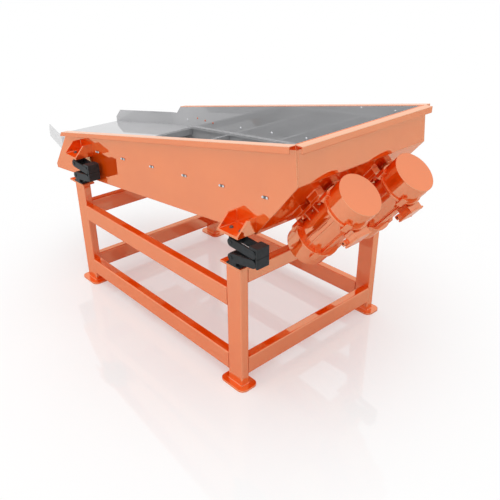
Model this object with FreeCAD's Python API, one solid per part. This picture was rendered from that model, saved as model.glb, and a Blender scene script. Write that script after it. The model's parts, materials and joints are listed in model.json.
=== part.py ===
import FreeCAD, Part
import math
import os

os.makedirs("parts", exist_ok=True)
V = FreeCAD.Vector

# Vibrating feeder, millimetres. +X is the feed end with the motors, -X is the discharge end,
# +Z is up. The origin is on the floor in the middle of the stand.

# Stand
stand_length = 1820.0
stand_beside = 100.0
tube_wide = 120.0
tube_deep = 60.0
tube_wall = 5.0
tube_corner = 9.0
foot_plate = 12.0
foot_reach_x = 45.0
foot_reach_y = 38.0
foot_corner = 42.0
seat_plate = 12.0
seat_height = 809.0
seat_inboard = 50.0
seat_clear = 10.0
seat_reach_feed = 48.0
seat_reach_discharge = 75.0
lower_rail_z = 78.0
upper_rail_z = 528.0
feed_rail_height = 92.0

# Trough
half_width = 530.0
side_sheet = 8.0
pan_sheet = 12.0
pan_drop = math.radians(5.63)
back_rake = math.radians(50.3)
back_length = 450.0
heel_x = 924.0
heel_rise = 183.0
tail_x = -1397.0
tail_rise = 32.0
rim_climb = math.radians(10.51)
rear_high = 206.5
rim_reach = 44.0
rim_drop = 36.0
rim_sheet = 6.0
rear_sheet = 10.0

# Liner
liner = 6.0
deck_height = 160.0
deck_start_x = -999.0
spout_fold_x = -1255.0
spout_tip_x = -1885.0
spout_tip_half = 328.0
spout_wall = 105.0
tip_upright = 44.0
tip_chamfer = 54.0
ledge_width = 22.0
ledge_rise = 14.0
bar_pitch = 481.0
bar_width = 22.0
bar_depth = 50.0

# Mounts
mount_x_feed = 847.0
mount_x_discharge = -861.0
mount_rise = 197.0
housing = 52.0
housing_long = 60.0
housing_foot = 104.0
housing_pad = 10.0
housing_gap = 0.2
low_pivot_rise = 58.0
high_pivot_hang = 49.0
arm_thick = 12.0
arm_width = 48.0
arm_reach = 171.0
lever_drop = 10.0
lever_lift = 24.0
knee_high = 58.0
knee_long = 61.0
knee_back = 14.0
knee_up = 13.0
knee_groove = 3.0
knee_cap = 15.0
cheek_long = 13.0
flange_half = 81.5
flange_reach = 131.0
flange_sheet = 14.0
gusset_sheet = 10.0
gusset_rise = 72.0
gusset_nose = 62.0

# Motors
motor_y = 232.0
motor_off = 158.0
motor_long = 525.0
cap_radius = 123.0
cap_long = 112.0
ring_radius = 132.0
ring_long = 14.0
lug_radius = 142.0
lug_wide = 34.0
lug_long = 60.0
barrel_radius = 106.0
rib_high = 11.0
rib_thick = 6.0
rib_turns = (28, 72, 88)
block_high = 33.0
block_long = 80.0
block_wide = 50.0
block_gap = 38.0
foot_half = 96.0
foot_sheet = 16.0
foot_inside = 40.0
web_thick = 8.0
web_pitch = 90.0
box_long = 100.0
box_shift = 82.0
box_wide = 104.0
box_high = 40.0
box_gap = 22.0
box_neck = 70.0
box_lid = 10.0
box_lip = 4.0
gland = 26.0
gland_reach = 16.0

# Tied values
stand_width = 2 * (half_width + stand_beside)
heel_z = seat_height + heel_rise
pan_slope = math.tan(pan_drop)
back_slope = math.tan(back_rake)
knuckle_x = heel_x + back_length * math.cos(back_rake)
knuckle_z = heel_z + back_length * math.sin(back_rake)
rim_feed_z = knuckle_z + rear_high
rim_x = knuckle_x - rear_high * pan_slope
post_x = stand_length / 2 - tube_wide / 2
post_y = stand_width / 2 - tube_deep / 2
mount_y = post_y
post_top = seat_height - seat_plate
flange_under = seat_height + mount_rise


def pan_z(x):
    return heel_z + (x - heel_x) * pan_slope


def deck_z(x):
    return pan_z(x) + deck_height


def rim_z(x):
    return rim_feed_z + (x - rim_x) * math.tan(rim_climb)


def back_meets(rise, off):
    """X where a line at this height over the pan meets the motor plate's face, off in from its outside."""
    return heel_x + (rise / back_slope - off / math.sin(back_rake)) / (1 - pan_slope / back_slope)


def heel_at(off):
    """Corner of pan and motor plate, off in from both outsides."""
    rise = off / math.cos(pan_drop)
    x = back_meets(rise, off)
    return x, pan_z(x) + rise


def rear_x(z, off):
    """X of the leaning rear wall at a height, off in from its outside."""
    return knuckle_x - (z - knuckle_z) * pan_slope - off / math.cos(pan_drop)


def knuckle_at(back_off, rear_off):
    """Corner of motor plate and rear wall, each off in from its outside."""
    step = back_off / math.sin(back_rake) - rear_off / math.cos(pan_drop)
    z = knuckle_z + step / (1 / back_slope + pan_slope)
    return rear_x(z, rear_off), z


def save(name, shapes):
    solid = shapes[0] if len(shapes) == 1 else Part.makeCompound(shapes)
    solid.exportStep("parts/" + name + ".step")


def both(shape):
    return shape.mirror(V(0, 0, 0), V(0, 1, 0))


def box(x0, x1, y0, y1, z0, z1):
    return Part.makeBox(x1 - x0, y1 - y0, z1 - z0, V(x0, y0, z0))


def sheet(points, y0, y1):
    """Plate cut from an outline in X and Z, between two values of Y."""
    wire = Part.makePolygon([V(x, y0, z) for x, z in points + points[:1]])
    return Part.Face(wire).extrude(V(0, y1 - y0, 0))


def plan_plate(x0, x1, y0, y1, z0, thick, corner):
    plate = box(x0, x1, y0, y1, z0, z0 + thick)
    upright = [e for e in plate.Edges if abs(e.tangentAt(e.FirstParameter).z) > 0.9]
    return plate.makeFillet(corner, upright)


def tube(start, axis, length, across, high):
    """Rectangular hollow section along X, Y or Z, rounded on the outside."""
    size = {"x": V(length, across, high), "y": V(across, length, high), "z": V(across, high, length)}[axis]
    step = V(tube_wall, tube_wall, tube_wall)
    setattr(step, axis, 0)
    block = Part.makeBox(size.x, size.y, size.z, start)
    along = [e for e in block.Edges if abs(getattr(e.tangentAt(e.FirstParameter), axis)) > 0.9]
    hollow = size - step * 2
    return block.makeFillet(tube_corner, along).cut(Part.makeBox(hollow.x, hollow.y, hollow.z, start + step))


# Stand: four posts on foot plates, seat plates on their tops
posts = []
feet = []
seats = []
for sx in (-1, 1):
    for sy in (-1, 1):
        x0 = sx * post_x - tube_wide / 2
        y0 = sy * post_y - tube_deep / 2
        posts.append(tube(V(x0, y0, foot_plate), "z", post_top - foot_plate, tube_wide, tube_deep))
        feet.append(plan_plate(x0 - foot_reach_x, x0 + tube_wide + foot_reach_x, y0 - foot_reach_y,
                               y0 + tube_deep + foot_reach_y, 0, foot_plate, foot_corner))
        reach = seat_reach_feed if sx > 0 else seat_reach_discharge
        near_edge = post_y - tube_deep / 2 - seat_inboard if sx > 0 else half_width + seat_clear
        far_edge = post_y + tube_deep / 2
        seat = box(x0 - reach, x0 + tube_wide, -far_edge, -near_edge, post_top, seat_height)
        seats.append(seat if sy < 0 else seat.mirror(V(0, 0, 0), V(0, 1, 0)))
save("posts", posts)
save("foot_plates", feet)
save("seat_plates", seats)

# Stand: rails flush with the outside of the posts
rail_x0 = tube_wide - stand_length / 2
rail_y0 = tube_deep - stand_width / 2
rail_x = -2 * rail_x0
rail_y = -2 * rail_y0
for name, y0 in (("near_side_rails", -stand_width / 2), ("far_side_rails", -rail_y0)):
    save(name, [tube(V(rail_x0, y0, z), "x", rail_x, tube_deep, tube_wide) for z in (lower_rail_z, upper_rail_z)])
end_x = -stand_length / 2
save("discharge_end_rails", [tube(V(end_x, rail_y0, z), "y", rail_y, tube_deep, tube_wide)
                             for z in (lower_rail_z, upper_rail_z)])
feed_x = -end_x - tube_deep
feed_rail_z = post_top - feed_rail_height
save("feed_end_lower_rail", [tube(V(feed_x, rail_y0, lower_rail_z), "y", rail_y, tube_deep, tube_wide)])
save("feed_end_upper_rail", [tube(V(feed_x, rail_y0, feed_rail_z), "y", rail_y, tube_deep, feed_rail_height)])

# Trough: side plates
chin_x = tail_x + 7
cut_foot_z = pan_z(chin_x) + tail_rise
top_x = (rim_z(0) - rim_sheet - cut_foot_z + back_slope * tail_x) / (back_slope - math.tan(rim_climb))
top_z = cut_foot_z + back_slope * (top_x - tail_x)
side_outline = [(chin_x, pan_z(chin_x)), (tail_x, cut_foot_z), (top_x, top_z),
                (rim_x, rim_feed_z - rim_sheet), (knuckle_x, knuckle_z), (heel_x, heel_z)]
side = sheet(side_outline, -half_width, side_sheet - half_width)
save("near_side_plate", [side])
save("far_side_plate", [both(side)])

# Trough: bottom pan, raked motor plate and leaning rear wall, mitred where they meet
inner = half_width - side_sheet
lift = pan_sheet / math.cos(pan_drop)
pan_x = chin_x + 2
pan = sheet([(pan_x, pan_z(pan_x)), heel_at(0), heel_at(pan_sheet), (pan_x, pan_z(pan_x) + lift)], -inner, inner)
save("bottom_pan", [pan])
back = sheet([heel_at(0), knuckle_at(0, 0), knuckle_at(pan_sheet, rear_sheet), heel_at(pan_sheet)], -inner, inner)
save("motor_plate", [back])
rear = sheet([knuckle_at(0, 0), (rim_x, rim_feed_z), (rear_x(rim_feed_z, rear_sheet), rim_feed_z),
              knuckle_at(pan_sheet, rear_sheet)], -inner, inner)
save("rear_wall", [rear])


# Trough: rims, a flange with a turned-down lip, open at the two feed corners
def rim():
    flange = sheet([(top_x, rim_z(top_x) - rim_sheet), (rim_x, rim_feed_z - rim_sheet), (rim_x, rim_feed_z),
                    (top_x + 2, rim_z(top_x + 2))], -half_width - rim_reach, side_sheet - half_width)
    low = rim_drop / back_slope
    lip = sheet([(top_x - low, rim_z(top_x) - rim_drop), (rim_x, rim_feed_z - rim_drop), (rim_x, rim_feed_z),
                 (top_x, rim_z(top_x))], -half_width - rim_reach, rim_sheet - half_width - rim_reach)
    return flange.fuse(lip).removeSplitter()


rim_end = rim_x + rim_reach
rim_under = rim_feed_z - rim_sheet
rim_low = rim_feed_z - rim_drop
rear_rim = sheet([(rim_x, rim_feed_z), (rim_end, rim_feed_z), (rim_end, rim_low), (rim_end - rim_sheet, rim_low),
                  (rim_end - rim_sheet, rim_under), (rear_x(rim_under, 0), rim_under)], -half_width, half_width)
save("near_rim", [rim()])
save("far_rim", [both(rim())])
save("rear_rim", [rear_rim])

# Liner: wall sheets that fold inwards at the spout
skin = inner - liner
step_z = deck_z(spout_fold_x) + spout_wall
liner_drop = 4
step_climb = 7


def wall_liner():
    notch_x = tail_x + (step_z + step_climb - cut_foot_z) / back_slope
    end_z = rim_z(rear_x(rim_under, rear_sheet)) - liner_drop
    foot = deck_z(spout_fold_x) - liner
    flat = sheet([(spout_fold_x, pan_z(spout_fold_x) + lift), (spout_fold_x, step_z),
                  (notch_x, step_z + step_climb), (top_x + liner_drop, rim_z(top_x) - liner_drop),
                  (rear_x(end_z, rear_sheet), end_z), knuckle_at(pan_sheet, rear_sheet), heel_at(pan_sheet)],
                 -inner, -skin)
    fold = math.atan2(skin - spout_tip_half, spout_fold_x - spout_tip_x)
    run = math.hypot(skin - spout_tip_half, spout_fold_x - spout_tip_x)
    bend = liner * math.tan(fold / 2)
    tip = deck_z(spout_tip_x)
    drop = deck_z(spout_fold_x) - tip
    wing = sheet([(bend, foot), (0, foot), (-run, tip - liner), (-run, tip + tip_upright),
                  (tip_chamfer - run, tip + spout_wall + tip_chamfer * drop / run), (0, step_z), (bend, step_z)],
                 -liner, 0)
    wing.rotate(V(0, 0, 0), V(0, 0, 1), -math.degrees(fold))
    wing.translate(V(spout_fold_x, -skin, 0))
    return flat.fuse(wing).removeSplitter()


save("near_wall_liner", [wall_liner()])
save("far_wall_liner", [both(wall_liner())])

# Liner: sheets on the pan, the motor plate and the rear wall
lined_pan = pan_sheet + liner
lined_rear = rear_sheet + liner
lined_lift = lined_pan / math.cos(pan_drop)
save("bottom_liner", [sheet([(pan_x, pan_z(pan_x) + lift), heel_at(pan_sheet), heel_at(lined_pan),
                             (pan_x, pan_z(pan_x) + lined_lift)], -skin, skin)])
save("back_liner", [sheet([heel_at(pan_sheet), knuckle_at(pan_sheet, rear_sheet),
                           knuckle_at(lined_pan, lined_rear), heel_at(lined_pan)], -skin, skin)])
rear_top = rim_feed_z - liner_drop
save("rear_liner", [sheet([knuckle_at(pan_sheet, rear_sheet), (rear_x(rear_top, rear_sheet), rear_top),
                           (rear_x(rear_top, lined_rear), rear_top), knuckle_at(lined_pan, lined_rear)],
                          -skin, skin)])

# Liner: discharge deck, ledges and cross bars
plan = [(deck_start_x, -skin), (spout_fold_x, -skin), (spout_tip_x, -spout_tip_half),
        (spout_tip_x, spout_tip_half), (spout_fold_x, skin), (deck_start_x, skin)]
wire = Part.makePolygon([V(x, y, deck_z(x)) for x, y in plan + plan[:1]])
deck = Part.Face(wire).extrude(V(0, 0, -liner))
save("discharge_deck", [deck])

ledge_top_x = back_meets(deck_height + ledge_rise, lined_pan)
ledge_low_x = back_meets(deck_height - liner, lined_pan)
ledge = sheet([(deck_start_x, deck_z(deck_start_x) - liner), (deck_start_x, deck_z(deck_start_x) + ledge_rise),
               (ledge_top_x, deck_z(ledge_top_x) + ledge_rise), (ledge_low_x, deck_z(ledge_low_x) - liner)],
              -skin, ledge_width - skin)
save("deck_ledges", [ledge, both(ledge)])
bars = []
for i in range(4):
    x0 = deck_start_x + i * bar_pitch
    x1 = x0 + bar_width
    bars.append(sheet([(x0, deck_z(x0) - liner), (x1, deck_z(x1) - liner), (x1, deck_z(x1) - liner - bar_depth),
                       (x0, deck_z(x0) - liner - bar_depth)], -skin, skin))
save("cross_bars", bars)


# Mounts: brackets on the trough, housings, levers and knees between the seat plates and the brackets
def at_mounts(make):
    shapes = []
    for x in (mount_x_feed, mount_x_discharge):
        near = make(x)
        shapes += [near, both(near)]
    return shapes


def bracket(x):
    """Flange on the side plate with an upright gusset at each end."""
    z = flange_under
    shape = box(x - flange_half, x + flange_half, -half_width - flange_reach, -half_width, z, z + flange_sheet)
    foot = z + flange_sheet
    outline = [(-half_width, foot), (-half_width - flange_reach, foot), (-half_width - gusset_nose, foot + gusset_rise),
               (-half_width, foot + gusset_rise)]
    for x1 in (x - flange_half + gusset_sheet, x + flange_half):
        corner = [V(x1, y, z) for y, z in outline]
        shape = shape.fuse(Part.Face(Part.makePolygon(corner + corner[:1])).extrude(V(-gusset_sheet, 0, 0)))
    return shape.removeSplitter()


low_pivot = seat_height + low_pivot_rise
high_pivot = flange_under - high_pivot_hang


def one_housing(x, pivot, plate, pad):
    """Round-ended block on a pad, from the plate that it is bolted to as far as its pivot."""
    y0 = -mount_y - housing_long / 2
    y1 = housing_long / 2 - mount_y
    body = box(x - housing / 2, x + housing / 2, y0, y1, min(pivot, plate), max(pivot, plate))
    eye = Part.makeCylinder(housing / 2, housing_long, V(x, y0, pivot), V(0, 1, 0))
    foot = box(x - housing_foot / 2, x + housing_foot / 2, y0, y1, min(plate, pad), max(plate, pad))
    return body.fuse([eye, foot]).removeSplitter()


def lower_housing(x):
    return one_housing(x, low_pivot, seat_height, seat_height + housing_pad)


def upper_housing(x):
    return one_housing(x, high_pivot, flange_under, flange_under - housing_pad)


def lever(x, z0, z1):
    """Two flat levers with round ends, one each side of the housing."""
    r = arm_width / 2
    angle = math.atan2(z1 - z0, arm_reach)
    run = math.hypot(z1 - z0, arm_reach)
    parts = []
    for y in (-mount_y - housing_long / 2 - arm_thick, -mount_y + housing_long / 2):
        body = Part.makeBox(run, arm_thick, arm_width, V(0, y, -r))
        for end in (0, run):
            body = body.fuse(Part.makeCylinder(r, arm_thick, V(end, y, 0), V(0, 1, 0)))
        body = body.removeSplitter()
        body.rotate(V(0, 0, 0), V(0, 1, 0), -math.degrees(angle))
        body.translate(V(x, 0, z0))
        parts.append(body)
    return parts


save("mount_brackets", at_mounts(bracket))
save("mount_lower_housings", at_mounts(lower_housing))
save("mount_upper_housings", at_mounts(upper_housing))
lows = []
highs = []
for x in (mount_x_feed, mount_x_discharge):
    for arm in lever(x, low_pivot, low_pivot + lever_lift):
        lows += [arm, both(arm)]
    for arm in lever(x, high_pivot, high_pivot - lever_drop):
        highs += [arm, both(arm)]
save("mount_lower_levers", lows)
save("mount_upper_levers", highs)

knee_half = housing_long / 2 + arm_thick
knee_mid = (low_pivot + lever_lift + high_pivot - lever_drop) / 2 + knee_up


def knee(x):
    """Two stacked blocks with a groove between, full width past the lever ends and above them."""
    x1 = x + arm_reach + arm_width / 2 + knee_back
    x0 = x1 - knee_long
    y0 = -mount_y - knee_half
    y1 = knee_half - mount_y
    z0 = knee_mid - knee_high
    z1 = knee_mid + knee_high
    core = housing_long / 2 - housing_gap
    shape = box(x0, x1 - knee_groove, -core - mount_y, core - mount_y, z0, z1)
    low = box(x1 - cheek_long, x1, y0, y1, z0, knee_mid - knee_groove / 2)
    high = box(x1 - cheek_long, x1, y0, y1, knee_mid + knee_groove / 2, z1)
    cap = box(x0, x1, y0, y1, z1 - knee_cap, z1)
    return shape.fuse([low, high, cap]).removeSplitter()


save("mount_knees", at_mounts(knee))

# Motors: built about the origin with X along the shaft and Z away from the motor plate
mid_x = (heel_x + knuckle_x) / 2
mid_z = (heel_z + knuckle_z) / 2
face_x = math.sin(back_rake)
face_z = -math.cos(back_rake)


def place(shape, side):
    shape.rotate(V(0, 0, 0), V(0, 1, 0), 180 - math.degrees(back_rake))
    shape.translate(V(mid_x + motor_off * face_x, side * motor_y, mid_z + motor_off * face_z))
    return shape


def pair(make):
    return [place(make(), -1), place(make(), 1)]


def cylinder(x0, x1, r):
    return Part.makeCylinder(r, x1 - x0, V(x0, 0, 0), V(1, 0, 0))


half_long = motor_long / 2
ring_out = half_long - cap_long


def blocks():
    """Four mounting blocks welded to the motor plate."""
    parts = []
    for sx in (-1, 1):
        for sy in (-1, 1):
            x = sx * (block_gap + block_long / 2)
            y = sy * (foot_half - block_wide / 2)
            parts.append(box(x - block_long / 2, x + block_long / 2, y - block_wide / 2, y + block_wide / 2,
                             -motor_off, block_high - motor_off))
    return parts


def barrel():
    """Finned barrel; the fins keep clear of the feet and of the box neck."""
    x1 = ring_out - ring_long
    shape = cylinder(-x1, x1, barrel_radius)
    for turn in rib_turns:
        for side in (-1, 1):
            rib = box(-x1, x1, -rib_thick / 2, rib_thick / 2, barrel_radius - rib_high, barrel_radius + rib_high)
            rib.rotate(V(0, 0, 0), V(1, 0, 0), side * turn)
            shape = shape.fuse(rib)
    return shape


def foot(sy):
    """Foot slab along one side of the barrel with two upright webs."""
    z0 = block_high - motor_off
    long = block_gap + block_long
    shape = box(-long, long, min(sy * foot_inside, sy * foot_half), max(sy * foot_inside, sy * foot_half),
                z0, z0 + foot_sheet)
    web_top = -barrel_radius * 0.6
    for x in (-web_pitch / 2, web_pitch / 2 - web_thick):
        outline = [(foot_inside, z0), (foot_half, z0), (foot_half, z0 + foot_sheet * 1.4),
                   (foot_half * 0.9, web_top), (foot_inside, web_top)]
        corner = [V(x, sy * y, z) for y, z in outline]
        web = Part.Face(Part.makePolygon(corner + corner[:1])).extrude(V(web_thick, 0, 0))
        shape = shape.fuse(web)
    return shape.cut(barrel())


def ring(sx):
    """End ring with four bolt lugs on the diagonals, cleared for the cap."""
    x0 = ring_out - ring_long
    shape = cylinder(x0, ring_out, ring_radius)
    for turn in (45, 135, 225, 315):
        lug = box(ring_out - lug_long / 2, ring_out + lug_long / 2, -lug_wide / 2, lug_wide / 2, 0, lug_radius)
        lug.rotate(V(0, 0, 0), V(1, 0, 0), turn)
        shape = shape.fuse(lug)
    shape = shape.cut(cylinder(0, x0, barrel_radius))
    shape = shape.cut(cylinder(ring_out, half_long, cap_radius)).removeSplitter()
    if sx < 0:
        shape.rotate(V(0, 0, 0), V(0, 0, 1), 180)
    return shape


def terminal_box():
    """Box on a neck over the barrel, with a lid and a cable gland."""
    z0 = barrel_radius + box_gap
    long = box_long / 2
    wide = box_wide / 2
    shape = box(-long, long, -wide, wide, z0, z0 + box_high - box_lid)
    lid = box(-long - box_lip, long + box_lip, -wide - box_lip, wide + box_lip, z0 + box_high - box_lid,
              z0 + box_high)
    neck = box(-box_neck / 2, box_neck / 2, -box_neck / 2, box_neck / 2, barrel_radius * 0.8, z0)
    x = long - gland
    y = -wide - gland_reach
    stub = box(x, x + gland, y, -wide, z0, z0 + gland)
    hole = Part.makeCylinder(gland * 0.3, gland_reach, V(x + gland / 2, y, z0 + gland / 2), V(0, 1, 0))
    shape = shape.fuse([lid, neck, stub]).removeSplitter().cut(hole)
    shape.translate(V(-box_shift, 0, 0))
    return shape.cut(barrel())


save("motor_pads", [place(b, side) for side in (-1, 1) for b in blocks()])
save("motor_barrels", pair(barrel))
save("motor_feet", [place(foot(sy), side) for side in (-1, 1) for sy in (-1, 1)])
save("motor_end_rings", [place(ring(sx), side) for side in (-1, 1) for sx in (-1, 1)])
save("motor_upper_caps", pair(lambda: cylinder(-half_long, -ring_out, cap_radius)))
save("motor_lower_caps", pair(lambda: cylinder(ring_out, half_long, cap_radius)))
save("terminal_boxes", pair(terminal_box))
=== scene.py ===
import json
import math

import bpy
import numpy as np
from mathutils import Matrix, Vector


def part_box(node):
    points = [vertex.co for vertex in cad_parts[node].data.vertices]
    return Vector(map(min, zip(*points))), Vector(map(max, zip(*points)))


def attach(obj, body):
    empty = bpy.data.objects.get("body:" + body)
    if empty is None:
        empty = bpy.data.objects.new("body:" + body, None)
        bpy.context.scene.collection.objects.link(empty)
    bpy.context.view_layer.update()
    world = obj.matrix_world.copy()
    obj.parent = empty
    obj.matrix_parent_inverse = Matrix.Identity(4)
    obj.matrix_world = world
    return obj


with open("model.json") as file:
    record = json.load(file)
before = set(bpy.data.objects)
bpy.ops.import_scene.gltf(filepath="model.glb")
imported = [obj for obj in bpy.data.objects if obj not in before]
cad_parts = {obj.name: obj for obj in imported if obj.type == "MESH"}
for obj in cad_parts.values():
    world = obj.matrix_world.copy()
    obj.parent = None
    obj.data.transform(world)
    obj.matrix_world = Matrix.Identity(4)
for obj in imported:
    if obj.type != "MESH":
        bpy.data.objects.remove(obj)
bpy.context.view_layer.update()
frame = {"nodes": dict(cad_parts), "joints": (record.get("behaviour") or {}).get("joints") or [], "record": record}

# Vibrating feeder on its tube stand. Metres, +Z up, +X towards the motors, -X towards the spout.

nodes = frame["nodes"]
print("frame loaded:", len(nodes), "nodes")


# Places worked out from the frame

def boxOf(name):
    low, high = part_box(name)
    return np.array(low), np.array(high)


stroke = np.array(frame["joints"][0]["axis"], float)  # the motors push along this, square to their shafts
outward = np.array([-stroke[0], 0.0, -stroke[2]])  # away from the motor plate
shaftUp = np.array([-outward[2], 0.0, outward[0]])  # along the shafts, towards the upper caps


# Shader node groups and helpers

def newSocket(group, name, kind, inOut, value=None):
    socket = group.interface.new_socket(name=name, in_out=inOut, socket_type=kind)
    if value is not None:
        socket.default_value = value
    return socket


cloudShape = {
    "detail": 4,
    "low": 0.35,
    "high": 0.65,
}


# Soft clouds: a noise of the given scale, stretched between low and high, mixes two colours
def buildCloudGroup(shape):
    group = bpy.data.node_groups.new("cloudTone", "ShaderNodeTree")
    newSocket(group, "Vector", "NodeSocketVector", "INPUT")
    newSocket(group, "Scale", "NodeSocketFloat", "INPUT", 3.0)
    newSocket(group, "First", "NodeSocketColor", "INPUT", (0.5, 0.5, 0.5, 1))
    newSocket(group, "Second", "NodeSocketColor", "INPUT", (0.5, 0.5, 0.5, 1))
    newSocket(group, "Rough Low", "NodeSocketFloat", "INPUT", 0.2)
    newSocket(group, "Rough High", "NodeSocketFloat", "INPUT", 0.4)
    newSocket(group, "Color", "NodeSocketColor", "OUTPUT")
    newSocket(group, "Roughness", "NodeSocketFloat", "OUTPUT")
    tree = group.nodes
    join = group.links.new
    enter = tree.new("NodeGroupInput")
    leave = tree.new("NodeGroupOutput")
    noise = tree.new("ShaderNodeTexNoise")
    noise.inputs["Detail"].default_value = shape["detail"]
    spread = tree.new("ShaderNodeMapRange")
    spread.inputs["From Min"].default_value = shape["low"]
    spread.inputs["From Max"].default_value = shape["high"]
    mix = tree.new("ShaderNodeMix")
    mix.data_type = "RGBA"
    rough = tree.new("ShaderNodeMapRange")
    join(enter.outputs["Vector"], noise.inputs["Vector"])
    join(enter.outputs["Scale"], noise.inputs["Scale"])
    join(noise.outputs["Fac"], spread.inputs["Value"])
    join(spread.outputs["Result"], mix.inputs["Factor"])
    join(enter.outputs["First"], mix.inputs["A"])
    join(enter.outputs["Second"], mix.inputs["B"])
    join(mix.outputs["Result"], leave.inputs["Color"])
    join(spread.outputs["Result"], rough.inputs["Value"])
    join(enter.outputs["Rough Low"], rough.inputs["To Min"])
    join(enter.outputs["Rough High"], rough.inputs["To Max"])
    join(rough.outputs["Result"], leave.inputs["Roughness"])
    return group


# Edge mask: how far a rounded normal leans from the true one, so thin lines follow the sharp edges.
# With Skyward at 1 the mask is the rounded normal's height instead, so it takes what looks up, for a painted
# highlight on upper sides
def buildEdgeGroup(samples):
    group = bpy.data.node_groups.new("edgeLine", "ShaderNodeTree")
    newSocket(group, "Radius", "NodeSocketFloat", "INPUT", 0.003)
    newSocket(group, "Strength", "NodeSocketFloat", "INPUT", 1.0)
    newSocket(group, "Skyward", "NodeSocketFloat", "INPUT", 0.0)
    newSocket(group, "Mask", "NodeSocketFloat", "OUTPUT")
    newSocket(group, "Normal", "NodeSocketVector", "OUTPUT")
    tree = group.nodes
    join = group.links.new
    enter = tree.new("NodeGroupInput")
    leave = tree.new("NodeGroupOutput")
    bevel = tree.new("ShaderNodeBevel")
    bevel.samples = samples
    geometry = tree.new("ShaderNodeNewGeometry")
    dot = tree.new("ShaderNodeVectorMath")
    dot.operation = "DOT_PRODUCT"
    lean = tree.new("ShaderNodeMath")
    lean.operation = "SUBTRACT"
    lean.inputs[0].default_value = 1.0
    gain = tree.new("ShaderNodeMath")
    gain.operation = "MULTIPLY"
    gain.use_clamp = True
    parts = tree.new("ShaderNodeSeparateXYZ")
    choice = tree.new("ShaderNodeMix")
    choice.data_type = "FLOAT"
    join(enter.outputs["Radius"], bevel.inputs["Radius"])
    join(bevel.outputs["Normal"], dot.inputs[0])
    join(geometry.outputs["Normal"], dot.inputs[1])
    join(dot.outputs["Value"], lean.inputs[1])
    join(bevel.outputs["Normal"], parts.inputs["Vector"])
    join(enter.outputs["Skyward"], choice.inputs["Factor"])
    join(lean.outputs["Value"], choice.inputs["A"])
    join(parts.outputs["Z"], choice.inputs["B"])
    join(choice.outputs["Result"], gain.inputs[0])
    join(enter.outputs["Strength"], gain.inputs[1])
    join(gain.outputs["Value"], leave.inputs["Mask"])
    join(bevel.outputs["Normal"], leave.inputs["Normal"])
    return group


cloudGroup = buildCloudGroup(cloudShape)
edgeGroup = buildEdgeGroup(samples=6)


def useGroup(tree, group, **values):
    node = tree.nodes.new("ShaderNodeGroup")
    node.node_tree = group
    for name, value in values.items():
        node.inputs[name.replace("_", " ")].default_value = value
    return node


def startMaterial(name):
    material = bpy.data.materials.new(name)
    material.use_nodes = True
    tree = material.node_tree
    shader = tree.nodes["Principled BSDF"]
    coords = tree.nodes.new("ShaderNodeTexCoord")
    return material, tree, shader, coords


# Materials

# Gloss paint: strong clear reflections over a deep orange, with a painted highlight along the edges: a lighter
# colour where the rounded normal leans
paintLook = {
    "fresh": (1.0, 0.096, 0.003, 1),
    "deep": (0.93, 0.078, 0.002, 1),
    "clouds": 2.2,
    # painted highlight colour along the edges
    "edge": (1.0, 0.42, 0.20, 1),
    "edgeRadius": 0.004,
    "edgeStrength": 3.0,
    "skyward": 0.0,
    "roughLow": 0.02,
    "roughHigh": 0.035,
    "mirror": 4.0,  # index of refraction
    "tint": (1.0, 0.705, 0.430, 1),
}
# The rims' upper sides get a painted highlight: the pale edge colour wherever the rounded normal looks up
rimHighlightLook = {**paintLook, "edge": (1.0, 0.50, 0.38, 1), "edgeRadius": 0.005, "skyward": 1.0}
# The small parts keep the painted edge highlight, in a narrower line
smallLook = {**paintLook, "edgeRadius": 0.0008}  # bolts and beads are too small for a wide line


def paintMaterial(name, look):
    material, tree, shader, coords = startMaterial(name)
    join = tree.links.new
    cloud = useGroup(tree, cloudGroup, Scale=look["clouds"], First=look["fresh"], Second=look["deep"],
                     Rough_Low=look["roughLow"], Rough_High=look["roughHigh"])
    edge = useGroup(tree, edgeGroup, Radius=look["edgeRadius"], Strength=look["edgeStrength"],
                    Skyward=look["skyward"])
    # Painted highlight: the edge colour is mixed over the base colour by the edge mask
    mix = tree.nodes.new("ShaderNodeMix")
    mix.data_type = "RGBA"
    mix.inputs["B"].default_value = look["edge"]
    join(coords.outputs["Object"], cloud.inputs["Vector"])
    join(edge.outputs["Mask"], mix.inputs["Factor"])
    join(cloud.outputs["Color"], mix.inputs["A"])
    join(mix.outputs["Result"], shader.inputs["Base Color"])
    join(cloud.outputs["Roughness"], shader.inputs["Roughness"])
    join(edge.outputs["Normal"], shader.inputs["Normal"])
    shader.inputs["IOR"].default_value = look["mirror"]
    shader.inputs["Specular Tint"].default_value = look["tint"]
    return material


# Polished sheet: a metal with a faint cloud in its roughness and fine rolling lines along X
steelLook = {
    "bright": (0.60, 0.60, 0.61, 1),
    "dull": (0.55, 0.55, 0.56, 1),
    "clouds": 1.7,
    "roughLow": 0.015,
    "roughHigh": 0.030,
    "metal": 0.28,
    "rolling": (6, 260, 260),  # waves a metre along X, Y and Z
    "rollingDetail": 3,
    "rollingStrength": 0.02,
    "rollingDepth": 0.0005,
}
# The bottom liner under the deck is the same steel painted darker: a painted shade for the shadow it lies in
shadedBedLook = {**steelLook, "bright": (0.27, 0.28, 0.29, 1), "dull": (0.21, 0.22, 0.23, 1)}
zincLook = {
    **steelLook,
    "bright": (0.95, 0.96, 0.98, 1),
    "dull": (0.86, 0.88, 0.92, 1),
    "roughLow": 0.20,
    "roughHigh": 0.30,
    "metal": 0.35,
}
# Darker zinc for the bolt straps and the mount bolts and nuts
darkZincLook = {**zincLook, "bright": (0.16, 0.17, 0.17, 1), "dull": (0.10, 0.11, 0.11, 1)}


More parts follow.
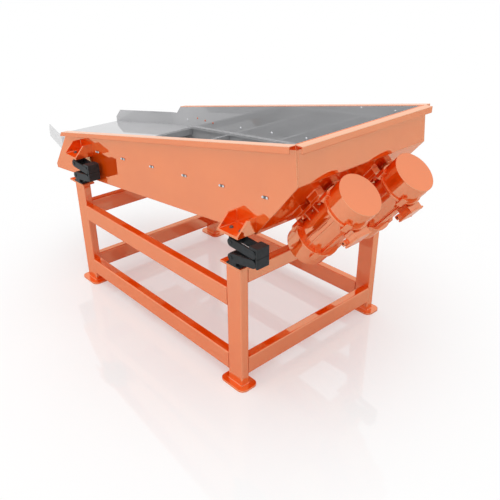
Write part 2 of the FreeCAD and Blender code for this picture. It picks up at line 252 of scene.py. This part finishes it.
def steelMaterial(name, look):
    material, tree, shader, coords = startMaterial(name)
    join = tree.links.new
    cloud = useGroup(tree, cloudGroup, Scale=look["clouds"], First=look["bright"], Second=look["dull"],
                     Rough_Low=look["roughLow"], Rough_High=look["roughHigh"])
    place = tree.nodes.new("ShaderNodeMapping")
    place.inputs["Scale"].default_value = look["rolling"]
    lines = tree.nodes.new("ShaderNodeTexNoise")
    lines.inputs["Scale"].default_value = 1.0
    lines.inputs["Detail"].default_value = look["rollingDetail"]
    bump = tree.nodes.new("ShaderNodeBump")
    bump.inputs["Strength"].default_value = look["rollingStrength"]
    bump.inputs["Distance"].default_value = look["rollingDepth"]
    join(coords.outputs["Object"], cloud.inputs["Vector"])
    join(coords.outputs["Object"], place.inputs["Vector"])
    join(place.outputs["Vector"], lines.inputs["Vector"])
    join(lines.outputs["Fac"], bump.inputs["Height"])
    join(bump.outputs["Normal"], shader.inputs["Normal"])
    join(cloud.outputs["Color"], shader.inputs["Base Color"])
    join(cloud.outputs["Roughness"], shader.inputs["Roughness"])
    shader.inputs["Metallic"].default_value = look["metal"]
    return material


# Cast mounts: near black with a fine grain and paler rubbed edges
castLook = {
    "body": (0.018, 0.022, 0.024, 1),
    "worn": (0.034, 0.040, 0.044, 1),
    "clouds": 30.0,
    "roughLow": 0.378,
    "roughHigh": 0.504,
    "gloss": 0.22,
    "edgeRadius": 0.003,
    "edgeStrength": 1.5,
    "grain": 400,
    "grainStrength": 0.15,
    "grainDepth": 0.0008,
}


def castMaterial(name, look):
    material, tree, shader, coords = startMaterial(name)
    join = tree.links.new
    cloud = useGroup(tree, cloudGroup, Scale=look["clouds"], First=look["body"], Second=look["worn"],
                     Rough_Low=look["roughLow"], Rough_High=look["roughHigh"])
    edge = useGroup(tree, edgeGroup, Radius=look["edgeRadius"], Strength=look["edgeStrength"])
    mix = tree.nodes.new("ShaderNodeMix")
    mix.data_type = "RGBA"
    mix.inputs["B"].default_value = look["worn"]
    grain = tree.nodes.new("ShaderNodeTexNoise")
    grain.inputs["Scale"].default_value = look["grain"]
    bump = tree.nodes.new("ShaderNodeBump")
    bump.inputs["Strength"].default_value = look["grainStrength"]
    bump.inputs["Distance"].default_value = look["grainDepth"]
    join(coords.outputs["Object"], cloud.inputs["Vector"])
    join(coords.outputs["Object"], grain.inputs["Vector"])
    join(grain.outputs["Fac"], bump.inputs["Height"])
    join(edge.outputs["Normal"], bump.inputs["Normal"])
    join(edge.outputs["Mask"], mix.inputs["Factor"])
    join(cloud.outputs["Color"], mix.inputs["A"])
    join(mix.outputs["Result"], shader.inputs["Base Color"])
    join(cloud.outputs["Roughness"], shader.inputs["Roughness"])
    join(bump.outputs["Normal"], shader.inputs["Normal"])
    shader.inputs["Specular IOR Level"].default_value = look["gloss"]
    return material


orangePaint = paintMaterial("orangePaint", paintLook)
linerSteel = steelMaterial("linerSteel", steelLook)
# painted shade: the bottom liner's darker steel
shadedBedSteel = steelMaterial("shadedBedSteel", shadedBedLook)
castGrey = castMaterial("castGrey", castLook)
# Rims: the gloss paint with a painted highlight on their upper sides
rimHighlightPaint = paintMaterial("rimHighlightPaint", rimHighlightLook)
smallPaint = paintMaterial("smallPaint", smallLook)
zincPlate = steelMaterial("zincPlate", zincLook)
darkZinc = steelMaterial("darkZinc", darkZincLook)
slotMaterials = {"orange_paint": orangePaint, "liner_steel": linerSteel, "mount_grey": castGrey}
ownMaterials = {"near_rim": rimHighlightPaint, "far_rim": rimHighlightPaint, "rear_rim": rimHighlightPaint, "bottom_liner": shadedBedSteel}
for part in frame["record"]["subparts"]:
    mesh = nodes[part["node"]].data
    mesh.materials.clear()
    mesh.materials.append(ownMaterials.get(part["node"], slotMaterials[part["material_slot"]]))
print("materials placed")


# New pieces

# Turned surface: point(u, v) = centre + radius(u) (cos v first + sin v second) + height(u) axis,
# where the profile gives radius and height, and its first and last points meet on the axis or each other
def turned(centre, axis, profile, turns=16, flats=0):
    axis = np.asarray(axis, float)
    axis = axis / np.linalg.norm(axis)
    first = np.cross(axis, [0.0, 1.0, 0.0] if abs(axis[1]) < 0.9 else [1.0, 0.0, 0.0])
    first = first / np.linalg.norm(first)
    second = np.cross(axis, first)
    profile = np.asarray(profile, float)
    angle = np.arange(turns) * 2 * np.pi / turns
    radius = profile[:, 0][:, None] * np.ones(turns)[None, :]
    if flats:  # a hexagon's radius at an angle: cos of half a side over cos from the middle of that side
        side = np.pi / flats
        radius = radius * (math.cos(side) / np.cos((angle + 1e-9) % (2 * side) - side))[None, :]
    ring = (np.cos(angle)[:, None] * first + np.sin(angle)[:, None] * second)[None, :, :]
    points = np.asarray(centre, float) + radius[:, :, None] * ring + profile[:, 1][:, None, None] * axis
    rows = len(profile)
    i, j = np.meshgrid(np.arange(rows - 1), np.arange(turns), indexing="ij")
    k = (j + 1) % turns
    faces = np.stack([i * turns + j, i * turns + k, (i + 1) * turns + k, (i + 1) * turns + j], -1)
    return points.reshape(-1, 3), faces.reshape(-1, 4)


# Several shapes as one list of points and one of faces
def joined(shapes):
    points, faces, start = [], [], 0
    for p, f in shapes:
        points.append(p)
        faces.append(f + start)
        start += len(p)
    return np.concatenate(points), np.concatenate(faces)


# A new piece that rides a body, with the points that fall together at its ends welded
def makePiece(name, shapes, material, body, weld=1e-6):
    points, faces = joined(shapes)
    mesh = bpy.data.meshes.new(name)
    mesh.from_pydata(points.tolist(), [], faces.tolist())
    mesh.validate()
    piece = bpy.data.objects.new(name, mesh)
    bpy.context.scene.collection.objects.link(piece)
    mesh.materials.append(material)
    join = piece.modifiers.new("closeEnds", "WELD")
    join.merge_threshold = weld
    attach(piece, body)
    return piece


# Shares of a head's or washer's own radius and height
headShape = {
    "washerThick": 0.16,
    "washerEdge": 0.80,
    "washerTop": 0.97,
    "chamferFrom": 0.85,
    "chamferTop": 0.88,
}
# Points round each kind of turned piece
roundness = {
    "hexagon": 24,
    "washer": 20,
    "dome": 16,
    "strap": 24,
    "collar": 20,
    "cap": 20,
}


# Hexagon head on a washer: a profile from the seat up to the top and in to the axis, turned about the axis
def hexBolt(centre, axis, radius, high, washer=0.0):
    thick = washer * headShape["washerThick"]
    shoulder = thick + high * headShape["chamferFrom"]
    top = thick + high
    head = [(0, thick), (radius, thick), (radius, shoulder), (radius * headShape["chamferTop"], top),
            (0, top)]
    shapes = [turned(centre, axis, head, roundness["hexagon"], 6)]
    if washer:
        disc = [(0, 0), (washer, 0), (washer, thick * headShape["washerEdge"]),
                (washer * headShape["washerTop"], thick), (0, thick)]
        shapes.append(turned(centre, axis, disc, roundness["washer"]))
    return shapes


# Domed head: as the angle t goes from 0 to a quarter turn, its radius is radius cos t and its height
# is high sin t
def domeBolt(centre, axis, radius, high, rows=6):
    t = np.linspace(0, np.pi / 2, rows)
    dome = [(0, 0), *zip(radius * np.cos(t), high * np.sin(t))]
    dome[-1] = (0, high)
    return [turned(centre, axis, dome, roundness["dome"])]


# Oblong strap with round ends: a disc of radius r whose two halves are moved apart by the vector half
def strap(centre, axis, half, radius, high):
    profile = [(0, 0), (radius, 0), (radius, high), (0, high)]
    points, faces = turned((0, 0, 0), axis, profile, roundness["strap"])
    lean = points @ half
    moved = np.where(np.abs(lean) < 1e-9, 0.0, np.sign(lean))[:, None] * half
    return points + moved + np.asarray(centre, float), faces


# Collar: the rectangle between the inner and outer radius, from 0 to high, turned about the axis
def collar(centre, axis, inner, outer, high):
    profile = [(inner, 0), (outer, 0), (outer, high), (inner, high), (inner, 0)]
    return turned(centre, axis, profile, roundness["collar"])


# Bolts through side plate and liner: a pair of heads on a strap outside, one dome inside.
# firstX, firstZ, pitch and climb lay the row out along X, and upper gives two single bolts near the rim
linerBolts = {
    "firstX": -0.699,
    "pitch": 0.3385,
    "count": 6,
    "firstZ": 1.0555,
    "climb": 0.1005,
    "pairHalf": 0.0155,
    "headRadius": 0.0072,
    "headHigh": 0.0055,
    "domeRadius": 0.0090,
    "domeHigh": 0.0070,
    "strapRadius": 0.0072,
    "strapThick": 0.0025,
    "sheets": 0.014,  # side plate and liner together
    "upper": ((0.760, 1.453), (1.006, 1.479)),
    "upperShare": 0.7,
}
wallOut = -boxOf("near_side_plate")[0][1]
wallIn = wallOut - linerBolts["sheets"]


def makeLinerBolts(sizes):
    steps = np.arange(-1, sizes["count"])
    xs = sizes["firstX"] + sizes["pitch"] * steps
    zs = sizes["firstZ"] + sizes["climb"] * (xs - sizes["firstX"])
    along = np.array([1.0, 0.0, sizes["climb"]])
    along = along / np.linalg.norm(along)
    straps, heads, domes = [], [], []
    for side in (-1, 1):
        for step, x, z in zip(steps, xs, zs):
            seat = np.array([x, side * wallOut, z])
            if step >= 0:
                straps.append(strap(seat, (0, side, 0), along * sizes["pairHalf"], sizes["strapRadius"],
                                    sizes["strapThick"]))
                for end in (-1, 1):
                    place = seat + end * sizes["pairHalf"] * along + (0, side * sizes["strapThick"], 0)
                    heads += domeBolt(place, (0, side, 0), sizes["headRadius"], sizes["headHigh"])
            if step != 0:  # the bracket's own bolts are there
                place = (x, side * wallIn, z)
                domes += domeBolt(place, (0, -side, 0), sizes["domeRadius"], sizes["domeHigh"])
        for x, z in sizes["upper"]:
            place = (x, side * wallIn, z)
            radius = sizes["headRadius"] * sizes["upperShare"]
            domes += domeBolt(place, (0, -side, 0), radius, sizes["headHigh"])
    makePiece("liner_bolt_straps", straps, darkZinc, "trough")
    makePiece("liner_bolt_heads", heads, zincPlate, "trough")
    makePiece("liner_bolt_domes", domes, zincPlate, "trough")


makeLinerBolts(linerBolts)

# Painted heads of the low-end brackets' bolts, inside the liner
bracketHeads = {"firstX": -0.898, "pitch": 0.100, "count": 3, "z": 1.059, "radius": 0.0075, "high": 0.005}


def makeBracketHeads(sizes):
    shapes = []
    for x in sizes["firstX"] + sizes["pitch"] * np.arange(sizes["count"]):
        for side in (-1, 1):
            place = (x, side * wallIn, sizes["z"])
            shapes += domeBolt(place, (0, -side, 0), sizes["radius"], sizes["high"])
    makePiece("bracket_bolt_heads", shapes, smallPaint, "trough")


makeBracketHeads(bracketHeads)
print("liner bolts placed")

# Rubber mounts: pad bolts, their nuts and the pivot caps.
# padHalf, halfWide and lever are the mounts' own sizes, which place them
mountBolts = {
    "padHalf": 0.052,
    "halfWide": 0.030,
    "lever": 0.012,
    "spread": 0.037,
    "padThick": 0.010,
    "flangeThick": 0.014,
    "radius": 0.0095,
    "high": 0.007,
    "washer": 0.0125,
    "pivotLow": 0.058,
    "pivotHigh": 0.049,
    "capRadius": 0.013,
    "capHigh": 0.003,
    "capTop": 0.94,  # shares of the cap's radius and height
    "capDish": 0.45,
    "capDishHigh": 0.40,
}


def makeMountBolts(sizes):
    low, high = boxOf("mount_lower_housings")
    mountX = (high[0] - sizes["padHalf"], low[0] + sizes["padHalf"])
    mountY = high[1] - sizes["halfWide"]
    seatZ = low[2]
    flangeZ = boxOf("mount_brackets")[0][2]
    up, down = (0, 0, 1), (0, 0, -1)
    radius, headHigh, washer = sizes["radius"], sizes["high"], sizes["washer"]
    capRadius, capHigh = sizes["capRadius"], sizes["capHigh"]
    cap = [(0, 0), (capRadius, 0), (capRadius * sizes["capTop"], capHigh),
           (capRadius * sizes["capDish"], capHigh), (0, capHigh * sizes["capDishHigh"])]
    seat, flange, nuts, lowCaps, highCaps = [], [], [], [], []
    for x in mountX:
        for side in (-1, 1):
            for dx in (-sizes["spread"], sizes["spread"]):
                spot = np.array([x + dx, side * mountY, 0])
                seat += hexBolt(spot + (0, 0, seatZ + sizes["padThick"]), up, radius, headHigh, washer)
                flange += hexBolt(spot + (0, 0, flangeZ + sizes["flangeThick"]), up, radius, headHigh, washer)
                nuts += hexBolt(spot + (0, 0, flangeZ - sizes["padThick"]), down, radius, headHigh)
            face = side * (mountY + sizes["halfWide"] + sizes["lever"])
            lowPivot = (x, face, seatZ + sizes["pivotLow"])
            highPivot = (x, face, flangeZ - sizes["pivotHigh"])
            lowCaps.append(turned(lowPivot, (0, side, 0), cap, roundness["cap"]))
            highCaps.append(turned(highPivot, (0, side, 0), cap, roundness["cap"]))
    makePiece("seat_pad_bolts", seat, darkZinc, "stand")
    makePiece("flange_bolts", flange, darkZinc, "trough")
    makePiece("flange_nuts", nuts, darkZinc, "trough")
    makePiece("low_pivot_caps", lowCaps, castGrey, "stand")
    makePiece("high_pivot_caps", highCaps, castGrey, "trough")


makeMountBolts(mountBolts)
print("mount bolts placed")

# Motors: places are along the shaft towards the lower end, across, and out from the plate
motorSizes = {
    "capRadius": 0.123,
    "lugOut": 0.1805,
    "lugIn": 0.1205,
    "lugBoltAt": 0.1325,
    "lugBolt": 0.0080,
    "lugBoltHigh": 0.0060,
    "footX": 0.082,
    "footY": 0.070,
    "footTop": -0.109,
    "footBolt": 0.0150,
    "footBoltHigh": 0.0110,
    "footWasher": 0.0180,
    "lidTop": 0.168,
    "lidMiddle": -0.082,
    "lidHalf": (0.045, 0.047),
    "lidScrew": 0.0045,
    "lidScrewHigh": 0.003,
    "glandAt": (-0.045, -0.068, 0.141),
    "glandHole": 0.0078,
    "glandCollar": 0.0115,
    "glandHigh": 0.004,
    "glandDepth": 0.006,
    "bungFill": 0.98,
    "bungHigh": 0.002,
    "blockBase": -0.158,
    "blockX": (0.038, 0.118),
    "blockY": (0.046, 0.096),
}
shaftDown = -shaftUp
frameTurn = np.array([shaftDown, (0.0, 1.0, 0.0), outward])  # rows: the motor's own three directions
capLow, capHigh = boxOf("motor_upper_caps")
endLow, endHigh = boxOf("motor_lower_caps")
motorMiddle = (capLow + capHigh + endLow + endHigh) / 4
motorY = capHigh[1] - motorSizes["capRadius"]


# A place in one motor's own directions, as a place in the frame
def onMotor(side, place):
    return motorMiddle + (0, side * motorY, 0) + np.asarray(place, float) @ frameTurn


def makeMotorBolts(sizes):
    lugs, feet, screws, collars, bungs = [], [], [], [], []
    diagonals = np.radians((45, 135, 225, 315))
    for side in (-1, 1):
        for end in (-1, 1):
            for turn in diagonals:
                y, z = sizes["lugBoltAt"] * math.cos(turn), sizes["lugBoltAt"] * math.sin(turn)
                outer = onMotor(side, (end * sizes["lugOut"], y, z))
                inner = onMotor(side, (end * sizes["lugIn"], y, z))
                lugs += hexBolt(outer, end * shaftDown, sizes["lugBolt"], sizes["lugBoltHigh"])
                lugs += hexBolt(inner, -end * shaftDown, sizes["lugBolt"], sizes["lugBoltHigh"])
            for across in (-1, 1):
                place = onMotor(side, (end * sizes["footX"], across * sizes["footY"], sizes["footTop"]))
                feet += hexBolt(place, outward, sizes["footBolt"], sizes["footBoltHigh"],
                                sizes["footWasher"])
                place = (sizes["lidMiddle"] + end * sizes["lidHalf"][0], across * sizes["lidHalf"][1],
                         sizes["lidTop"])
                screws += domeBolt(onMotor(side, place), outward, sizes["lidScrew"], sizes["lidScrewHigh"])
        gland = onMotor(side, sizes["glandAt"])
        sideways = (0, -1, 0)
        hole = sizes["glandHole"]
        collars.append(collar(gland, sideways, hole, sizes["glandCollar"], sizes["glandHigh"]))
        inside = gland + (0, sizes["glandDepth"], 0)
        bungs += domeBolt(inside, sideways, hole * sizes["bungFill"], sizes["bungHigh"])
    makePiece("ring_lug_bolts", lugs, smallPaint, "trough")
    makePiece("motor_foot_bolts", feet, smallPaint, "trough")
    makePiece("terminal_lid_screws", screws, smallPaint, "trough")
    makePiece("gland_collars", collars, smallPaint, "trough")
    makePiece("gland_bungs", bungs, castGrey, "trough")


makeMotorBolts(motorSizes)
print("motor bolts placed")

# Weld beads, with a ripple every pitch. The lower sizes are those of the tubes and brackets that they follow
beadLook = {
    "radius": 0.0045,
    "ripple": 0.12,
    "pitch": 0.006,
    "step": 0.003,
    "leastRows": 4,
    "around": 5,
    "footTop": 0.012,
    "tube": (0.120, 0.060),
    "flangeHalf": 0.0815,
    "gusset": 0.010,
    "gussetRise": 0.072,
    "flangeReach": 0.131,
}


# Bead in a corner: point(u, v) = start + u (end - start) + r(u) (cos v first + sin v second),
# with v from 0 to a quarter turn, and closed through the corner line.
# r(u) = radius (1 + ripple sin(2 pi length u / pitch)), and 0 at both ends
def beadLine(start, end, first, second, look):
    start, end, first, second = (np.asarray(each, float) for each in (start, end, first, second))
    if np.dot(np.cross(first, second), end - start) < 0:
        first, second = second, first
    length = np.linalg.norm(end - start)
    rows = max(look["leastRows"], int(length / look["step"]))
    u = np.linspace(0, 1, rows + 1)
    size = look["radius"] * (1 + look["ripple"] * np.sin(2 * np.pi * length * u / look["pitch"]))
    size[[0, -1]] = 0
    v = np.linspace(0, np.pi / 2, look["around"])
    section = np.concatenate([np.zeros((1, 3)), np.cos(v)[:, None] * first + np.sin(v)[:, None] * second])
    points = start + u[:, None, None] * (end - start) + size[:, None, None] * section[None]
    wide = len(section)
    i, j = np.meshgrid(np.arange(rows), np.arange(wide), indexing="ij")
    k = (j + 1) % wide
    faces = np.stack([i * wide + j, i * wide + k, (i + 1) * wide + k, (i + 1) * wide + j], -1)
    return points.reshape(-1, 3), faces.reshape(-1, 4)


# Four beads round a rectangle on a plane, given its middle, its two half sides and the plane's normal
def beadRound(middle, halfOne, halfTwo, up, look):
    middle, halfOne, halfTwo = (np.asarray(each, float) for each in (middle, halfOne, halfTwo))
    shapes = []
    for a, b in ((halfOne, halfTwo), (halfTwo, halfOne)):
        away = a / np.linalg.norm(a)
        for sign in (-1, 1):
            shapes.append(beadLine(middle + sign * a - b, middle + sign * a + b, sign * away, up, look))
    return shapes


def makeBeads(look):
    postLow, postHigh = boxOf("posts")
    halfX, halfY = look["tube"][0] / 2, look["tube"][1] / 2
    feet = []
    for x in (postLow[0] + halfX, postHigh[0] - halfX):
        for y in (postLow[1] + halfY, postHigh[1] - halfY):
            feet += beadRound((x, y, look["footTop"]), (halfX, 0, 0), (0, halfY, 0), (0, 0, 1), look)
    makePiece("foot_weld_beads", feet, smallPaint, "stand")
    blocks = []
    insideX, outsideX = motorSizes["blockX"]
    insideY, outsideY = motorSizes["blockY"]
    for side in (-1, 1):
        for endX in (-1, 1):
            for endY in (-1, 1):
                middle = onMotor(side, (endX * (insideX + outsideX) / 2, endY * (insideY + outsideY) / 2,
                                        motorSizes["blockBase"]))
                blocks += beadRound(middle, shaftDown * (outsideX - insideX) / 2,
                                    (0, (outsideY - insideY) / 2, 0), outward, look)
    makePiece("block_weld_beads", blocks, smallPaint, "trough")
    low, high = boxOf("mount_brackets")
    mountX = (high[0] - look["flangeHalf"], low[0] + look["flangeHalf"])
    floorZ = low[2] + mountBolts["flangeThick"]
    inside = look["flangeHalf"] - look["gusset"]
    brackets = []
    for x in mountX:
        for side in (-1, 1):
            wall = side * wallOut
            brackets.append(beadLine((x - inside, wall, floorZ), (x + inside, wall, floorZ), (0, side, 0),
                                     (0, 0, 1), look))
            for end in (-1, 1):
                cornerX = x + end * inside
                corner = (cornerX, wall, floorZ)
                rise = (cornerX, wall, floorZ + look["gussetRise"])
                reach = (cornerX, wall + side * look["flangeReach"], floorZ)
                toMiddle = (-end, 0, 0)
                brackets.append(beadLine(corner, rise, toMiddle, (0, side, 0), look))
                brackets.append(beadLine(corner, reach, toMiddle, (0, 0, 1), look))
    makePiece("bracket_weld_beads", brackets, smallPaint, "trough")


makeBeads(beadLook)
print("weld beads placed")


# Studio

# 1 for a ray from the camera, a reflection or a clear pane, 0 for the light that surfaces give each other
def seenByEye(tree):
    path = tree.nodes.new("ShaderNodeLightPath")
    seen = path.outputs["Is Camera Ray"]
    for other in ("Is Glossy Ray", "Is Transmission Ray"):
        both = tree.nodes.new("ShaderNodeMath")
        both.operation = "MAXIMUM"
        tree.links.new(seen, both.inputs[0])
        tree.links.new(path.outputs[other], both.inputs[1])
        seen = both.outputs["Value"]
    return path, seen


# Pale gloss floor. The camera sees a share of it as plain white: haze near the machine, hazeFar further
# out, so the shadow and the mirror image fade out between the radii fadeFrom and fadeTo
floorLook = {
    "size": 30.0,
    "tone": (1.0, 1.0, 1.0, 1),
    "speck": (0.98, 0.98, 0.98, 1),
    "bounce": (0.56, 0.56, 0.56, 1),  # what it gives back to other surfaces
    "clouds": 0.8,
    "roughLow": 0.03,
    "roughHigh": 0.045,
    "gloss": 1.90,  # index of refraction
    "haze": 0.34,
    "hazeFar": 0.90,
    "fadeFrom": 1.1,
    "fadeTo": 2.4,
}


# Flat grid: point(u, v) = (u, v, 0) with u and v from -size to size
def makeFloor(look):
    u = np.linspace(-look["size"], look["size"], 3)
    gx, gy = np.meshgrid(u, u, indexing="ij")
    points = np.stack([gx, gy, np.zeros_like(gx)], -1).reshape(-1, 3)
    i, j = np.meshgrid(np.arange(2), np.arange(2), indexing="ij")
    faces = np.stack([i * 3 + j, (i + 1) * 3 + j, (i + 1) * 3 + j + 1, i * 3 + j + 1], -1).reshape(-1, 4)
    mesh = bpy.data.meshes.new("floor")
    mesh.from_pydata(points.tolist(), [], faces.tolist())
    floor = bpy.data.objects.new("floor", mesh)
    bpy.context.scene.collection.objects.link(floor)
    material, tree, shader, coords = startMaterial("floorGloss")
    join = tree.links.new
    cloud = useGroup(tree, cloudGroup, Scale=look["clouds"], First=look["tone"], Second=look["speck"],
                     Rough_Low=look["roughLow"], Rough_High=look["roughHigh"])
    path, seen = seenByEye(tree)
    tone = tree.nodes.new("ShaderNodeMix")
    tone.data_type = "RGBA"
    tone.inputs["A"].default_value = look["bounce"]
    haze = tree.nodes.new("ShaderNodeMath")
    haze.operation = "MULTIPLY"
    away = tree.nodes.new("ShaderNodeVectorMath")
    away.operation = "LENGTH"
    fade = tree.nodes.new("ShaderNodeMapRange")
    fade.interpolation_type = "SMOOTHSTEP"
    fade.inputs["From Min"].default_value = look["fadeFrom"]
    fade.inputs["From Max"].default_value = look["fadeTo"]
    fade.inputs["To Min"].default_value = look["haze"]
    fade.inputs["To Max"].default_value = look["hazeFar"]
    glow = tree.nodes.new("ShaderNodeEmission")
    blend = tree.nodes.new("ShaderNodeMixShader")
    join(coords.outputs["Object"], cloud.inputs["Vector"])
    join(seen, tone.inputs["Factor"])
    join(cloud.outputs["Color"], tone.inputs["B"])
    join(tone.outputs["Result"], shader.inputs["Base Color"])
    join(cloud.outputs["Roughness"], shader.inputs["Roughness"])
    join(coords.outputs["Object"], away.inputs[0])
    join(away.outputs["Value"], fade.inputs["Value"])
    join(path.outputs["Is Camera Ray"], haze.inputs[0])
    join(fade.outputs["Result"], haze.inputs[1])
    join(haze.outputs["Value"], blend.inputs["Fac"])
    join(shader.outputs["BSDF"], blend.inputs[1])
    join(glow.outputs["Emission"], blend.inputs[2])
    join(blend.outputs["Shader"], tree.nodes["Material Output"].inputs["Surface"])
    shader.inputs["IOR"].default_value = look["gloss"]
    mesh.materials.append(material)


makeFloor(floorLook)

# Soft studio light from the sky alone, so the floor is lit evenly:
# level(direction) = low + top z z + side s, where z is the height of the direction and s its lean to the
# key side, both cut off at 0. The camera and the reflections see it as plain white
studioLook = {
    "low": 0.40,
    "top": 1.02,
    "side": 0.56,
    "keySide": (-0.25, -0.97, 0.0),
    "seen": 1.0,
}


def makeLight(look):
    world = bpy.data.worlds.new("studio")
    bpy.context.scene.world = world
    world.use_nodes = True
    tree = world.node_tree
    join = tree.links.new
    sky = tree.nodes["Background"]
    sky.inputs["Color"].default_value = (1, 1, 1, 1)
    coords = tree.nodes.new("ShaderNodeTexCoord")

    # how far the ray's direction leans towards this one, cut off at 0
    def lean(towards):
        dot = tree.nodes.new("ShaderNodeVectorMath")
        dot.operation = "DOT_PRODUCT"
        dot.inputs[1].default_value = towards
        positive = tree.nodes.new("ShaderNodeMath")
        positive.operation = "MAXIMUM"
        positive.inputs[1].default_value = 0.0
        join(coords.outputs["Generated"], dot.inputs[0])
        join(dot.outputs["Value"], positive.inputs[0])
        return positive.outputs["Value"]

    # first x second + third
    def timesPlus(first, second, third):
        node = tree.nodes.new("ShaderNodeMath")
        node.operation = "MULTIPLY_ADD"
        for socket, value in zip(node.inputs, (first, second, third)):
            if isinstance(value, float):
                socket.default_value = value
            else:
                join(value, socket)
        return node.outputs["Value"]

    height = lean((0, 0, 1))
    level = timesPlus(timesPlus(height, height, 0.0), look["top"], look["low"])
    level = timesPlus(lean(look["keySide"]), look["side"], level)
    seen = seenByEye(tree)[1]
    mix = tree.nodes.new("ShaderNodeMix")
    mix.inputs["B"].default_value = look["seen"]
    join(seen, mix.inputs["Factor"])
    join(level, mix.inputs["A"])
    join(mix.outputs["Result"], sky.inputs["Strength"])


makeLight(studioLook)

# The photo's own viewpoint: metres, degrees and millimetres
cameraPlace = {
    "at": (2.9849, -2.4571, 2.3833),
    "yaw": 47.543,
    "down": 27.712,
    "roll": -0.315,
    "lens": 42.87,
    "sensor": 36.0,
    "clipEnd": 100,
}


def makeCamera(place):
    yaw, down, roll = (math.radians(place[k]) for k in ("yaw", "down", "roll"))
    ahead = Vector((-math.sin(yaw) * math.cos(down), math.cos(yaw) * math.cos(down), -math.sin(down)))
    right = Vector((math.cos(yaw), math.sin(yaw), 0))
    up = right.cross(ahead)
    right, up = (math.cos(roll) * right + math.sin(roll) * up,
                 -math.sin(roll) * right + math.cos(roll) * up)
    data = bpy.data.cameras.new("photoCamera")
    camera = bpy.data.objects.new("photoCamera", data)
    bpy.context.scene.collection.objects.link(camera)
    data.lens = place["lens"]
    data.sensor_width = place["sensor"]
    data.clip_end = place["clipEnd"]
    turn = Matrix((right, up, -ahead)).transposed().to_4x4()
    camera.matrix_world = Matrix.Translation(place["at"]) @ turn
    bpy.context.scene.camera = camera


makeCamera(cameraPlace)
bpy.context.scene.view_settings.view_transform = "Standard"
print("studio ready")
